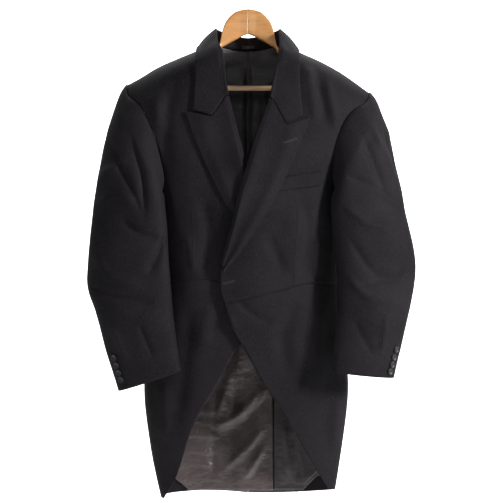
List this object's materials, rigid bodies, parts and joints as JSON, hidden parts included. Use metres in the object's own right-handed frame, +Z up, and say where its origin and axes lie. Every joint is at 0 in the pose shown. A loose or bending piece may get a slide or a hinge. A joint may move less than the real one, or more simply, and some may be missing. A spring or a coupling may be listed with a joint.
{
  "type": "morning coat on a wooden clothes hanger",
  "caption": "Black morning coat with peaked lapels and cutaway tails, hung on a wooden hanger with a trouser bar and a wire hook.",
  "frame": {"origin": "seat of the hanger's hook, the top inside of its arc", "axes": "+Z up, +X to the wearer's left, the coat's front faces -Y"},
  "size_m": [0.685, 0.1787, 1.1221],
  "materials": {
    "button_horn": "black horn look, semi gloss",
    "honey_wood": "honey wood, satin lacquer",
    "hook_steel": "plain steel wire",
    "neck_satin": "black satin, soft sheen",
    "satin_lining": "brown grey satin, soft sheen",
    "wool": "matte black worsted wool with a faint herringbone"
  },
  "bodies": {
    "root": {"back_button_left": "button_horn", "back_button_right": "button_horn", "back_left": "wool", "back_right": "wool", "breast_welt": "wool", "collar": "wool", "cuff_button_left_1": "button_horn", "cuff_button_left_2": "button_horn", "cuff_button_left_3": "button_horn", "cuff_button_left_4": "button_horn", "cuff_button_right_1": "button_horn", "cuff_button_right_2": "button_horn", "cuff_button_right_3": "button_horn", "cuff_button_right_4": "button_horn", "forepart_left": "wool", "forepart_right": "wool", "hanger_arm_left": "honey_wood", "hanger_arm_right": "honey_wood", "hanger_hook": "hook_steel", "hanger_loop": "neck_satin", "lapel_left": "wool", "lapel_right": "wool", "neck_lining_left": "neck_satin", "neck_lining_right": "neck_satin", "sidebody_left": "wool", "sidebody_right": "wool", "skirt_left": "wool", "skirt_right": "wool", "tail_lining_left": "satin_lining", "tail_lining_right": "satin_lining", "top_sleeve_left": "wool", "top_sleeve_right": "wool", "trouser_bar": "honey_wood", "under_sleeve_left": "wool", "under_sleeve_right": "wool", "vent_underlap": "wool", "waist_button": "button_horn"}
  },
  "joints": []
}
